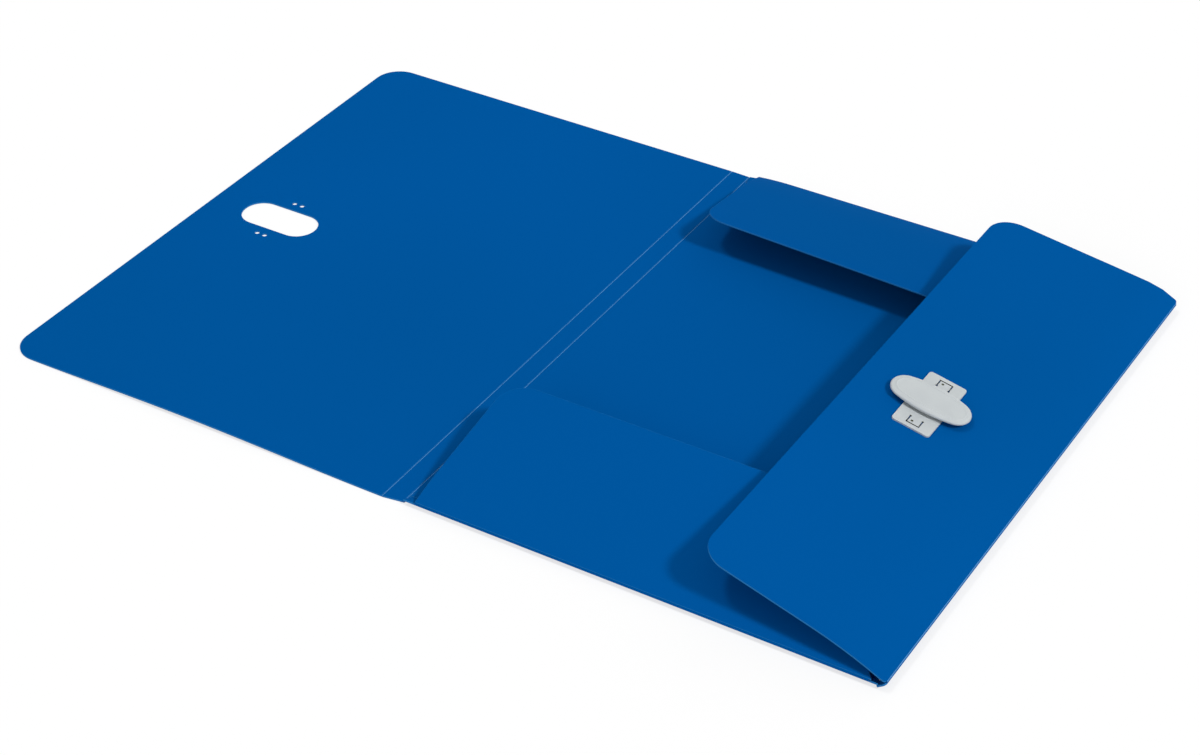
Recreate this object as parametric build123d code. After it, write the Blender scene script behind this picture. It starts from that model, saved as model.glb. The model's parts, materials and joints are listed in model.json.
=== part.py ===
from build123d import *
import os
from math import cos, radians, sin, tan

# Document folder: one creased plastic sheet with a cover, a spine and a back panel that carries three flaps.
# A turn-button on the fore flap locks through an oval slot in the cover.
# Frame: Z up. The sheets lie on Z = 0, the fore edge faces +X, the far edge faces +Y.
# The origin is in the middle of the back panel's underside.

# Sheet and its creases
sheet = 0.8
crease_setback = 0.3
crease_bead = 0.25
crease_web = 0.25

# Cover, spine and back panel
cover_height = 320.0
cover_shortfall = 14.3
cover_corner_radius = 14.0
spine_end_taper = 1.5
back_width = 230.5

# Gussets: narrow strips between the back panel and the flaps, leaning outwards at rest
gusset_width = 6.2
gusset_start = 2.5
fore_gusset_lean = 34.0
side_gusset_lean = 20.0
side_fold_inset = 0.4

# Flaps: a bend beside the crease, then a flat run to the free edge
flap_corner_radius = 14.0
fore_flap_bend_length = 38.0
fore_flap_bend_angle = 11.0
fore_flap_flat_length = 57.0
fore_flap_flat_tilt = 12.0
fore_flap_end_taper = 8.3
fore_flap_end_inset = 0.4
side_flap_bend_length = 25.0
side_flap_bend_angle = 8.0
side_flap_flat_length = 52.0
side_flap_flat_tilt = 10.0
side_flap_start = 4.0
side_flap_start_taper = 4.0
side_flap_mitre_gap = 6.0
side_flap_mitre_angle = 40.0

# How far closing the cover presses the fore flap down, and how freely the cover then lies
fore_press_angle = 11.7
cover_clearance = 0.35
turning_clearance = 0.45

# Turn-button closure
button_length = 40.0
button_width = 19.4
button_side_radius = 53.0
button_thickness = 2.0
button_crown_radius = 260.0
button_edge_radius = 0.9
button_foot_radius = 0.4
neck_diameter = 12.0
stem_diameter = 8.0
stem_tip = 0.6
groove_depth = 0.5
running_clearance = 0.1
closure_setback = 22.0

# Plates and ring that hold the button on the flap
plate_length = 41.0
plate_width = 19.2
plate_thickness = 0.9
plate_corner_radius = 1.6
plate_edge_chamfer = 0.25
backing_length = 38.0
backing_width = 15.0
backing_thickness = 0.8
ring_diameter = 14.0
ring_thickness = 0.8
peg_diameter = 1.8
peg_hole_clearance = 0.2
peg_head_diameter = 2.6
peg_head_thickness = 0.5
peg_row_offset = 16.0
peg_spacing = 4.6
tongue_width = 6.8
tongue_length = 4.8
tongue_middle = 15.8
slit_width = 0.6
slit_end_diameter = 1.1
dimple_diameter = 1.3
dimple_depth = 0.4
dimple_shift = 1.1

# Slot in the cover, which the button passes through
slot_end_clearance = 1.6
slot_side_clearance = 0.7
slot_corner_radius = 10.2
cover_hole_diameter = 2.5

# Sizes that follow from the ones above
cover_middle = cover_height / 2
cover_width = back_width - cover_shortfall
cut_margin = 50.0
side_panel_inset = side_fold_inset + gusset_width * cos(radians(side_gusset_lean))
fore_fold_x = back_width + gusset_width * cos(radians(fore_gusset_lean))
fore_fold_angle = 180 - fore_gusset_lean - fore_flap_flat_tilt - fore_flap_bend_angle
side_fold_angle = 180 - side_gusset_lean - side_flap_flat_tilt - side_flap_bend_angle
peg_hole = peg_diameter + 2 * peg_hole_clearance
slot_length = button_length + 2 * slot_end_clearance
slot_width = button_width + 2 * slot_side_clearance

# Closed folder: spine upright, cover level, and the fore flap pressed almost level under the cover
closed_gusset_lean = radians(fore_gusset_lean + fore_press_angle)
closed_flat_tilt = radians(fore_flap_flat_tilt - fore_press_angle)
closed_bend_tilt = closed_flat_tilt + radians(fore_flap_bend_angle)
bend_radius = fore_flap_bend_length / radians(fore_flap_bend_angle)

# Closed place of the closure on the fore flap's outer face, first along the flap and then above the fore fold
closed_run = crease_setback * cos(closed_bend_tilt)
closed_run += bend_radius * (sin(closed_bend_tilt) - sin(closed_flat_tilt))
closed_run += closure_setback * cos(closed_flat_tilt) - sheet * sin(closed_flat_tilt)
closed_rise = crease_setback * sin(closed_bend_tilt)
closed_rise += bend_radius * (cos(closed_flat_tilt) - cos(closed_bend_tilt))
closed_rise += closure_setback * sin(closed_flat_tilt) + sheet * cos(closed_flat_tilt)

# The slot then lies over the button, the spine is as high as what the cover lies on, and the cover fits in
# the gap under the button
slot_from_crease = back_width + gusset_width * cos(closed_gusset_lean) - closed_run
spine_width = gusset_width * sin(closed_gusset_lean) + closed_rise + plate_thickness + cover_clearance
button_gap = cover_clearance + sheet + turning_clearance

# Places: local X points away from each crease, local Y runs along it, and the sheet's inner face is local Z = 0
inner_face = Pos(-back_width / 2, -cover_middle, sheet)
cover_base = inner_face * Pos(-spine_width, 0, 0)
fore_base = inner_face * Pos(back_width, 0, 0)
top_base = inner_face * Pos(0, cover_height - side_panel_inset, 0) * Rot(0, 0, 90)
bottom_base = inner_face * Pos(0, side_panel_inset, 0) * Rot(0, 0, -90)


def lifted(base, angle):
    """Place of a panel that is folded up by an angle about the local Y axis of its base."""
    return base * Rot(0, -angle, 0)


def crease_after(base, length, angle):
    """Place of the next panel, folded up by an angle at the end of a panel of this length."""
    return lifted(base * Pos(length, 0, 0), angle)


def plate(points, radii=0.0):
    """Flat sheet below local Z = 0 with this outline."""
    outline = FilletPolyline(*points, radius=radii, close=True)
    return extrude(make_face(outline), amount=sheet, dir=(0, 0, -1))


def bent_sheet(bend_length, bend_angle, flat_length, low, high):
    """Sheet from local Y low to high that bends to its inner face beside the crease and then runs flat."""
    turn = radians(bend_angle)
    radius = bend_length / turn

    def on_path(angle, depth):
        return (crease_setback + (radius + depth) * sin(angle), radius - (radius + depth) * cos(angle))

    def at_end(depth):
        start = on_path(turn, depth)
        return (start[0] + flat_length * cos(turn), start[1] + flat_length * sin(turn))

    inner_bend = ThreePointArc(on_path(0, 0), on_path(turn / 2, 0), on_path(turn, 0))
    inner_flat = Line(on_path(turn, 0), at_end(0))
    free_edge = Line(at_end(0), at_end(sheet))
    outer_flat = Line(at_end(sheet), on_path(turn, sheet))
    outer_bend = ThreePointArc(on_path(turn, sheet), on_path(turn / 2, sheet), on_path(0, sheet))
    crease_edge = Line(on_path(0, sheet), on_path(0, 0))
    profile = make_face(Curve() + [inner_bend, inner_flat, free_edge, outer_flat, outer_bend, crease_edge])
    return Pos(0, low, 0) * extrude(Plane.XZ * profile, amount=high - low, dir=(0, 1, 0))


def flap_reach(bend_length, bend_angle, flat_length):
    """Length of a bent sheet as seen square to its crease edge."""
    turn = radians(bend_angle)
    return crease_setback + bend_length / turn * sin(turn) + flat_length * cos(turn)


def cutter(points, radii=0.0):
    """Upright block with this outline, tall enough to trim a bent sheet."""
    outline = FilletPolyline(*points, radius=radii, close=True)
    return Pos(0, 0, -cut_margin) * extrude(make_face(outline), amount=2 * cut_margin)


def crease(low, high):
    """Living hinge: a thin web from the edge of the first panel, with a round bead on the fold axis."""
    length = high - low
    middle = low + length / 2
    web = Pos(-crease_setback / 2, middle, -crease_web / 2) * Box(crease_setback, length, crease_web)
    bead = Pos(0, middle, 0) * Rot(90, 0, 0) * Cylinder(crease_bead, length)
    return web + bead


def rounded_plate(length, width, thickness, radius):
    """Plate standing on local Z = 0, its length along local Y."""
    return extrude(RectangleRounded(width, length, radius), amount=thickness)


def disc(diameter, bottom, top):
    """Round solid on the local Z axis."""
    return Pos(0, 0, bottom) * extrude(Circle(diameter / 2), amount=top - bottom)


def peg_places():
    """Middle of each of the four pegs: a pair on each side of the button."""
    columns = (-peg_spacing / 2, peg_spacing / 2)
    rows = (-peg_row_offset, peg_row_offset)
    return [Pos(x, y, 0) for x in columns for y in rows]


# Back panel, with its corners brought in where the gussets begin
def back_panel():
    near = side_panel_inset + crease_setback
    far = cover_height - near
    fore = back_width - crease_setback
    outline = [
        (crease_setback, spine_end_taper),
        (gusset_start, near),
        (fore, near),
        (fore, far),
        (gusset_start, far),
        (crease_setback, cover_height - spine_end_taper),
    ]
    return inner_face * plate(outline)


# Spine strip, a little shorter where it meets the back panel
def spine_strip():
    outline = [
        (-crease_setback, spine_end_taper),
        (-crease_setback, cover_height - spine_end_taper),
        (crease_setback - spine_width, cover_height),
        (crease_setback - spine_width, 0),
    ]
    return inner_face * plate(outline)


# Cover with its slot and the two pairs of small holes
def cover_panel():
    outline = [
        (-crease_setback, 0),
        (-crease_setback, cover_height),
        (-cover_width, cover_height),
        (-cover_width, 0),
    ]
    panel = plate(outline, [0, 0, cover_corner_radius, cover_corner_radius])
    middle = Pos(-slot_from_crease, cover_middle, -sheet)
    slot = extrude(RectangleRounded(slot_length, slot_width, slot_corner_radius), amount=sheet)
    panel -= middle * slot
    for place in peg_places():
        panel -= middle * place * disc(cover_hole_diameter, 0, sheet)
    return cover_base * panel


# Gussets; the fore one widens to the ends of the fore flap
def fore_gusset_place():
    return lifted(fore_base, fore_gusset_lean)


def fore_gusset():
    near = side_panel_inset + crease_setback
    outline = [
        (crease_setback, near),
        (gusset_width - crease_setback, fore_flap_end_inset),
        (gusset_width - crease_setback, cover_height - fore_flap_end_inset),
        (crease_setback, cover_height - near),
    ]
    return fore_gusset_place() * plate(outline)


def side_gusset(base, along):
    """Gusset of the far or near edge; along is 1 where local Y runs with X, and -1 where it runs against it."""
    ends = [gusset_start * along, (back_width - gusset_start) * along]
    outline = [
        (crease_setback, ends[0]),
        (gusset_width - crease_setback, ends[0]),
        (gusset_width - crease_setback, ends[1]),
        (crease_setback, ends[1]),
    ]
    return lifted(base, side_gusset_lean) * plate(outline)


# Fore flap
def fore_flap_place():
    return crease_after(fore_gusset_place(), gusset_width, fore_fold_angle)


def closure_place():
    """On the outer face of the fore flap, local Z pointing out of it."""
    turn = radians(fore_flap_bend_angle)
    bend_end = Pos(crease_setback + bend_radius * sin(turn), cover_middle, bend_radius * (1 - cos(turn)))
    flat_run = lifted(bend_end, fore_flap_bend_angle) * Pos(closure_setback, 0, -sheet)
    return fore_flap_place() * flat_run * Rot(180, 0, 0)


def fore_flap():
    bend = (fore_flap_bend_length, fore_flap_bend_angle, fore_flap_flat_length)
    reach = flap_reach(*bend)
    near = fore_flap_end_inset
    far = cover_height - fore_flap_end_inset
    taper = fore_flap_end_taper
    outline = [(0, near), (reach, near + taper), (reach, far - taper), (0, far)]
    flap = bent_sheet(*bend, 0, cover_height)
    flap &= cutter(outline, [0, flap_corner_radius, flap_corner_radius, 0])
    flap = fore_flap_place() * flap
    hole = disc(stem_diameter + 2 * running_clearance, -2 * sheet, sheet)
    flap -= closure_place() * hole
    for place in peg_places():
        flap -= closure_place() * place * disc(peg_hole, -2 * sheet, sheet)
    return flap


# Far and near flaps: mirror images, cut back at the fore end so that the fore flap folds over them
def side_flap(base, along):
    bend = (side_flap_bend_length, side_flap_bend_angle, side_flap_flat_length)
    reach = flap_reach(*bend)
    start_taper = reach * tan(radians(side_flap_start_taper))
    mitre_start = fore_fold_x - side_flap_mitre_gap
    mitre = reach * tan(radians(side_flap_mitre_angle))
    outline = [
        (0, side_flap_start * along),
        (reach, (side_flap_start + start_taper) * along),
        (reach, (mitre_start - mitre) * along),
        (0, mitre_start * along),
    ]
    ends = sorted([0, back_width * along])
    flap = bent_sheet(*bend, *ends)
    flap &= cutter(outline, [0, flap_corner_radius, flap_corner_radius, 0])
    return side_flap_place(base) * flap


def side_flap_place(base):
    return crease_after(lifted(base, side_gusset_lean), gusset_width, side_fold_angle)


# Living hinges
def spine_crease():
    return inner_face * Rot(0, 0, 180) * crease(spine_end_taper - cover_height, -spine_end_taper)


def cover_crease():
    return cover_base * Rot(0, 0, 180) * crease(-cover_height, 0)


def fore_gusset_crease():
    near = side_panel_inset + crease_setback
    return fore_base * crease(near, cover_height - near)


def fore_flap_crease():
    ends = (fore_flap_end_inset, cover_height - fore_flap_end_inset)
    return fore_gusset_place() * Pos(gusset_width, 0, 0) * crease(*ends)


def side_gusset_crease(base, along):
    ends = sorted([gusset_start * along, (back_width - gusset_start) * along])
    return base * crease(*ends)


def side_flap_crease(base, along):
    ends = sorted([side_flap_start * along, (back_width - gusset_start) * along])
    return lifted(base, side_gusset_lean) * Pos(gusset_width, 0, 0) * crease(*ends)


# Closure
def slit(side):
    """U-shaped slit in a tab, its closed side facing outwards, its legs ending in small round holes."""
    outer = side * (tongue_middle + tongue_length / 2 - slit_width / 2)
    bar = Pos(0, outer, 0) * Rectangle(tongue_width, slit_width)
    legs = [
        Pos(x, side * tongue_middle, 0) * Rectangle(slit_width, tongue_length)
        for x in (-(tongue_width - slit_width) / 2, (tongue_width - slit_width) / 2)
    ]
    inner = side * (tongue_middle - tongue_length / 2)
    ends = [Pos(leg.center().X, inner, 0) * Circle(slit_end_diameter / 2) for leg in legs]
    return extrude(bar + legs + ends, amount=plate_thickness)


def closure_base_plate():
    body = rounded_plate(plate_length, plate_width, plate_thickness, plate_corner_radius)
    body = chamfer(body.faces().sort_by(Axis.Z)[-1].edges(), plate_edge_chamfer)
    body -= disc(stem_diameter + 2 * running_clearance, 0, plate_thickness)
    grip = -sheet - backing_thickness
    for side in (-1, 1):
        body -= slit(side)
        spot = Pos(dimple_shift, side * peg_row_offset, plate_thickness - dimple_depth)
        body -= spot * extrude(Circle(dimple_diameter / 2), amount=dimple_depth)
    for place in peg_places():
        body += place * disc(peg_diameter, grip, 0)
        body += place * disc(peg_head_diameter, grip - peg_head_thickness, grip)
    return closure_place() * body


def closure_backing_plate():
    body = rounded_plate(backing_length, backing_width, backing_thickness, plate_corner_radius)
    body -= disc(stem_diameter + 2 * running_clearance, 0, backing_thickness)
    for place in peg_places():
        body -= place * disc(peg_hole, 0, backing_thickness)
    return closure_place() * Pos(0, 0, -sheet - backing_thickness) * body


def button_outline():
    """Oval of two long side arcs whose points are rounded off to the button's length."""
    offset = button_side_radius - button_width / 2
    half_length = button_length / 2
    end_radius = (button_side_radius**2 - offset**2 - half_length**2) / 2 / (button_side_radius - half_length)
    lens = Pos(0, offset, 0) * Circle(button_side_radius) & Pos(0, -offset, 0) * Circle(button_side_radius)
    return fillet(lens.vertices(), end_radius)


def ring_level():
    """Top of the retaining ring below the flap's outer face."""
    return -sheet - backing_thickness - running_clearance


def closure_button():
    underside = plate_thickness + button_gap
    body = extrude(button_outline(), amount=button_thickness)
    crown = Pos(0, 0, button_thickness - button_crown_radius) * Sphere(button_crown_radius)
    body &= crown
    body = fillet(body.faces().sort_by(Axis.Z)[-1].edges(), button_edge_radius)
    body = fillet(body.faces().sort_by(Axis.Z)[0].edges(), button_foot_radius)
    body = Pos(0, 0, underside) * body
    body += disc(neck_diameter, plate_thickness, underside)
    body += disc(stem_diameter, ring_level() - ring_thickness - stem_tip, plate_thickness)
    groove = disc(stem_diameter, ring_level() - ring_thickness, ring_level())
    groove -= disc(stem_diameter - 2 * groove_depth, ring_level() - ring_thickness, ring_level())
    return closure_place() * (body - groove)


def closure_retaining_ring():
    levels = (ring_level() - ring_thickness, ring_level())
    bore = stem_diameter - 2 * groove_depth + 2 * running_clearance
    ring = disc(ring_diameter, *levels) - disc(bore, *levels)
    return closure_place() * ring


nodes = {
    "back_panel": back_panel(),
    "spine_strip": spine_strip(),
    "cover_panel": cover_panel(),
    "fore_gusset": fore_gusset(),
    "fore_flap": fore_flap(),
    "top_gusset": side_gusset(top_base, -1),
    "top_flap": side_flap(top_base, -1),
    "bottom_gusset": side_gusset(bottom_base, 1),
    "bottom_flap": side_flap(bottom_base, 1),
    "spine_crease": spine_crease(),
    "cover_crease": cover_crease(),
    "fore_gusset_crease": fore_gusset_crease(),
    "fore_flap_crease": fore_flap_crease(),
    "top_gusset_crease": side_gusset_crease(top_base, -1),
    "top_flap_crease": side_flap_crease(top_base, -1),
    "bottom_gusset_crease": side_gusset_crease(bottom_base, 1),
    "bottom_flap_crease": side_flap_crease(bottom_base, 1),
    "closure_base_plate": closure_base_plate(),
    "closure_button": closure_button(),
    "closure_backing_plate": closure_backing_plate(),
    "closure_retaining_ring": closure_retaining_ring(),
}

os.makedirs("parts", exist_ok=True)
for name, shape in nodes.items():
    export_step(shape, f"parts/{name}.step")
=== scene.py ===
import json
import bpy
from math import asin, atan2, cos, exp, pi, radians, sin, sqrt, tan
from mathutils import Matrix, Vector, geometry


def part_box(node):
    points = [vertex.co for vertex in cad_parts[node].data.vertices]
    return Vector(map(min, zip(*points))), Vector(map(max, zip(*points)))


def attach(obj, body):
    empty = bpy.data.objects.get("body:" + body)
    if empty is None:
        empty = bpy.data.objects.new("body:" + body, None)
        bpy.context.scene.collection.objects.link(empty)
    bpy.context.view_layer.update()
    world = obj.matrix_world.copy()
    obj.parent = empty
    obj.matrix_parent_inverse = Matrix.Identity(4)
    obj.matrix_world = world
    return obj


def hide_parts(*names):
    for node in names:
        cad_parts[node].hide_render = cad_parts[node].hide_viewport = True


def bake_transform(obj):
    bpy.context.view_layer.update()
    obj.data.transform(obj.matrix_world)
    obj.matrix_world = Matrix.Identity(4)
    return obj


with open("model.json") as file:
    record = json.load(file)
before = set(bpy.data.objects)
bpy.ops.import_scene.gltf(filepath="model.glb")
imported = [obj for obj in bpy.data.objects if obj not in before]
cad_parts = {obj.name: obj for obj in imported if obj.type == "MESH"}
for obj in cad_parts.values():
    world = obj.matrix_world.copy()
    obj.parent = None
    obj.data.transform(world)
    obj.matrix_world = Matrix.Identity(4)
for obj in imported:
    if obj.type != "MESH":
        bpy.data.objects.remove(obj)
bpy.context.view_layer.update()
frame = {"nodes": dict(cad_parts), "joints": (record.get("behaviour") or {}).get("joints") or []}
mm = 0.001
joints = {joint["name"]: joint for joint in frame["joints"]}
print("stage: frame loaded")

# The creased sheet. Local u runs away from a panel's crease, local v runs along it,
# and w points out of the inner face.
sheet = {
    "thickness": 0.8,
    "height": 320.0,
    "creaseGap": 0.3,  # from a fold axis to the edge of a panel
    "creaseThickness": 0.7,
    "edgeRound": 0.12,
    "gridStep": 7.0,
    "stripStep": 3.0,  # finer grid of the spine and the gussets
}


# Helpers for places
def jointPoint(name):
    return Vector(joints[name]["pos_m"])


def panelPlace(origin, heading, lean):  # heading is level and points away from the crease, lean lifts it
    out = Vector(heading)
    up = Vector((0, 0, 1))
    u = out * cos(radians(lean)) + up * sin(radians(lean))
    w = up * cos(radians(lean)) - out * sin(radians(lean))
    v = w.cross(u)
    place = Matrix((u, v, w)).transposed().to_4x4()
    place.translation = origin
    return place


# Materials
def nodeGroup(name, inputs, outputs):
    group = bpy.data.node_groups.new(name, "ShaderNodeTree")
    for label, kind, value in inputs:
        socket = group.interface.new_socket(label, in_out="INPUT", socket_type=kind)
        socket.default_value = value
    for label, kind in outputs:
        group.interface.new_socket(label, in_out="OUTPUT", socket_type=kind)
    return group, group.nodes.new("NodeGroupInput"), group.nodes.new("NodeGroupOutput")


def placeGroup(tree, group, values):
    node = tree.nodes.new("ShaderNodeGroup")
    node.node_tree = group
    for label, value in values.items():
        node.inputs[label].default_value = value
    return node


def mathNode(tree, operation, first, second=None, third=None, clamp=False):
    node = tree.nodes.new("ShaderNodeMath")
    node.operation = operation
    node.use_clamp = clamp
    for socket, value in zip(node.inputs, (first, second, third)):
        if value is None:
            continue
        if isinstance(value, (int, float)):
            socket.default_value = value
        else:
            tree.links.new(value, socket)
    return node.outputs[0]


def noiseNode(tree, vector, scale, detail=2.0, roughness=0.5):
    node = tree.nodes.new("ShaderNodeTexNoise")
    tree.links.new(vector, node.inputs["Vector"])
    if isinstance(scale, (int, float)):
        node.inputs["Scale"].default_value = scale
    else:
        tree.links.new(scale, node.inputs["Scale"])
    node.inputs["Detail"].default_value = detail
    node.inputs["Roughness"].default_value = roughness
    return node.outputs["Fac"]


def makeGrainGroup():  # moulded or rolled plastic: fine grain over a slow ripple
    group, given, result = nodeGroup(
        "plasticGrain",
        [("Grain Scale", "NodeSocketFloat", 2400.0), ("Ripple Scale", "NodeSocketFloat", 60.0),
         ("Ripple Share", "NodeSocketFloat", 0.3), ("Roughness", "NodeSocketFloat", 0.5),
         ("Roughness Spread", "NodeSocketFloat", 0.1)],
        [("Height", "NodeSocketFloat"), ("Roughness", "NodeSocketFloat")])
    place = group.nodes.new("ShaderNodeTexCoord").outputs["Object"]
    grain = noiseNode(group, place, given.outputs["Grain Scale"], 3.0, 0.6)
    ripple = noiseNode(group, place, given.outputs["Ripple Scale"], 1.0)
    height = mathNode(group, "MULTIPLY_ADD", ripple, given.outputs["Ripple Share"], grain)
    group.links.new(height, result.inputs["Height"])
    change = mathNode(group, "SUBTRACT", grain, 0.5)
    spread, level = given.outputs["Roughness Spread"], given.outputs["Roughness"]
    group.links.new(mathNode(group, "MULTIPLY_ADD", change, spread, level), result.inputs["Roughness"])
    return group


def makeToneGroup():  # slow drift between two close tones of one colour
    speckleScale = 1800.0
    contrast = 2.0  # stretches the drift about its middle
    group, given, result = nodeGroup(
        "toneDrift",
        [("Tone", "NodeSocketColor", (0.5, 0.5, 0.5, 1)), ("Far Tone", "NodeSocketColor", (0.5, 0.5, 0.5, 1)),
         ("Scale", "NodeSocketFloat", 5.0), ("Speckle", "NodeSocketFloat", 0.0)],
        [("Color", "NodeSocketColor")])
    place = group.nodes.new("ShaderNodeTexCoord").outputs["Object"]
    drift = noiseNode(group, place, given.outputs["Scale"], 1.0)
    speckle = noiseNode(group, place, speckleScale, 2.0)
    speckle = mathNode(group, "MULTIPLY", mathNode(group, "SUBTRACT", speckle, 0.5), given.outputs["Speckle"])
    drift = mathNode(group, "MULTIPLY_ADD", drift, contrast, (1 - contrast) / 2)
    share = mathNode(group, "ADD", drift, speckle, clamp=True)
    mix = group.nodes.new("ShaderNodeMix")
    mix.data_type = "RGBA"
    group.links.new(share, mix.inputs["Factor"])
    group.links.new(given.outputs["Tone"], mix.inputs["A"])
    group.links.new(given.outputs["Far Tone"], mix.inputs["B"])
    group.links.new(mix.outputs["Result"], result.inputs["Color"])
    return group


grainGroup = makeGrainGroup()
toneGroup = makeToneGroup()


def plasticMaterial(name, look):
    material = bpy.data.materials.new(name)
    material.use_nodes = True
    tree = material.node_tree
    shader = tree.nodes["Principled BSDF"]
    shader.inputs["Specular IOR Level"].default_value = look["specular"]
    tone = placeGroup(tree, toneGroup, {
        "Tone": (*look["tone"], 1),
        "Far Tone": (*look["farTone"], 1),
        "Scale": look["driftScale"],
        "Speckle": look["speckle"],
    })
    tree.links.new(tone.outputs["Color"], shader.inputs["Base Color"])
    grain = placeGroup(tree, grainGroup, {
        "Grain Scale": look["grainScale"],
        "Ripple Scale": look["rippleScale"],
        "Ripple Share": look["rippleShare"],
        "Roughness": look["roughness"],
        "Roughness Spread": look["roughnessSpread"],
    })
    tree.links.new(grain.outputs["Roughness"], shader.inputs["Roughness"])
    bump = tree.nodes.new("ShaderNodeBump")
    bump.inputs["Strength"].default_value = look["bump"]
    bump.inputs["Distance"].default_value = look["bumpDepth"] * mm
    tree.links.new(grain.outputs["Height"], bump.inputs["Height"])
    tree.links.new(bump.outputs["Normal"], shader.inputs["Normal"])
    return material


sheetLook = {
    "tone": (0.0, 0.086, 0.314),
    "farTone": (0.0, 0.092, 0.346),
    "driftScale": 4.0,
    "speckle": 0.6,
    "specular": 0.001,
    "roughness": 0.45,
    "roughnessSpread": 0.12,
    "grainScale": 2400.0,
    "rippleScale": 45.0,
    "rippleShare": 0.6,
    "bump": 0.35,
    "bumpDepth": 0.03,
}
# Cut edges and their rounds: a lighter blue, partly whitening of the cut plastic and partly a painted
# highlight along the edges.
edgeWhiteningAndHighlightLook = dict(sheetLook, tone=(0.01, 0.14, 0.39), farTone=(0.02, 0.16, 0.42), specular=0.02)
# Pale crease bands: a lighter blue, partly whitening of the bent plastic and partly a painted highlight.
creaseWhiteningAndHighlightLook = dict(sheetLook, tone=(0.07, 0.27, 0.56), farTone=(0.10, 0.30, 0.59), specular=0.05)
closureLook = {
    "tone": (0.49, 0.525, 0.54),
    "farTone": (0.53, 0.565, 0.575),
    "driftScale": 90.0,
    "speckle": 1.0,
    "specular": 0.4,
    "roughness": 0.5,
    "roughnessSpread": 0.15,
    "grainScale": 3200.0,
    "rippleScale": 300.0,
    "rippleShare": 0.4,
    "bump": 0.4,
    "bumpDepth": 0.03,
}
# Painted shade: a dark olive tone on the slit walls and in the dimples of the closure plate.
paintedShadeLook = dict(closureLook, tone=(0.10, 0.11, 0.07), farTone=(0.13, 0.14, 0.10))
sheetPlastic = plasticMaterial("sheetPlastic", sheetLook)
cutEdgeWhiteningAndHighlight = plasticMaterial("cutEdgeWhiteningAndHighlight", edgeWhiteningAndHighlightLook)
creasePlastic = plasticMaterial("creasePlastic", creaseWhiteningAndHighlightLook)
closurePlastic = plasticMaterial("closurePlastic", closureLook)
closurePaintedShade = plasticMaterial("closurePaintedShade", paintedShadeLook)
print("stage: materials made")


# Outlines in the plane of a panel, in millimetres, running round anticlockwise
def roundedOutline(corners, arcSteps=12):
    points = []
    count = len(corners)
    for index, (u, v, radius) in enumerate(corners):
        here = Vector((u, v))
        if not radius:
            points.append(here)
            continue
        before = (Vector(corners[index - 1][:2]) - here).normalized()
        after = (Vector(corners[(index + 1) % count][:2]) - here).normalized()
        half = before.angle(after) / 2
        centre = here + (before + after).normalized() * radius / sin(half)
        start = here + before * radius / tan(half) - centre
        sweep = start.angle_signed(here + after * radius / tan(half) - centre)
        for step in range(arcSteps + 1):
            turn = Matrix.Rotation(-sweep * step / arcSteps, 2)
            points.append(centre + turn @ start)
    return points


def roundHole(u, v, diameter, steps=20):
    turns = [2 * pi * step / steps for step in range(steps)]
    return [Vector((u + diameter / 2 * cos(turn), v + diameter / 2 * sin(turn))) for turn in turns]


def boxCorners(u, v, width, length, radius):
    across, along = width / 2, length / 2
    return [(u - across, v - along, radius), (u + across, v - along, radius),
            (u + across, v + along, radius), (u - across, v + along, radius)]


def splitLong(loop, step):
    points = []
    for here, following in zip(loop, loop[1:] + loop[:1]):
        pieces = max(1, round((following - here).length / step))
        points += [here.lerp(following, part / pieces) for part in range(pieces)]
    return points


def insideLoop(point, loop):
    inside = False
    for a, b in zip(loop, loop[1:] + loop[:1]):
        if (a.y > point.y) != (b.y > point.y):
            if point.x < a.x + (point.y - a.y) * (b.x - a.x) / (b.y - a.y):
                inside = not inside
    return inside


def onPanel(point, loops):  # inside the outline and in none of the holes
    return insideLoop(point, loops[0]) and not any(insideLoop(point, loop) for loop in loops[1:])


def clearOf(point, edgePoints, distance):
    return all((point - other).length_squared > distance * distance for other in edgePoints)


def flatPanel(name, loops, step, spots=()):  # the first loop is the outline, the others are holes
    keepClear = step * 0.45  # from the grid to the outline, the holes and the spots
    mergeDistance = 1e-6
    loops = [splitLong(loop, step) for loop in loops]
    points = list(spots)
    edges = []
    for loop in loops:
        first = len(points)
        points += loop
        edges += [(first + i, first + (i + 1) % len(loop)) for i in range(len(loop))]
    rim = list(points)
    lowU, highU = min(p.x for p in rim), max(p.x for p in rim)
    lowV, highV = min(p.y for p in rim), max(p.y for p in rim)
    for i in range(1, int((highU - lowU) / step) + 1):
        for j in range(1, int((highV - lowV) / step) + 1):
            point = Vector((lowU + i * step, lowV + j * step))
            if onPanel(point, loops) and clearOf(point, rim, keepClear):
                points.append(point)
    triangles = geometry.delaunay_2d_cdt(points, edges, [], 1, mergeDistance)
    corners = triangles[0]
    faces = []
    for face in triangles[2]:
        middle = sum((corners[i] for i in face), Vector((0, 0))) / len(face)
        if onPanel(middle, loops):
            faces.append(face)
    mesh = bpy.data.meshes.new(name)
    mesh.from_pydata([(p.x * mm, p.y * mm, 0) for p in corners], [], faces)
    return mesh


def linkObject(name, mesh):
    thing = bpy.data.objects.new(name, mesh)
    bpy.context.scene.collection.objects.link(thing)
    return thing


def plainMesh(thing):  # what the modifiers give, as the object's own mesh
    bpy.context.view_layer.update()
    finished = bpy.data.meshes.new_from_object(thing.evaluated_get(bpy.context.evaluated_depsgraph_get()))
    finished.name = thing.name
    thing.modifiers.clear()
    thing.data = finished


wallFinish = {"roundSegments": 3, "sharpAngle": 50.0, "faceWeight": 90}


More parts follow.
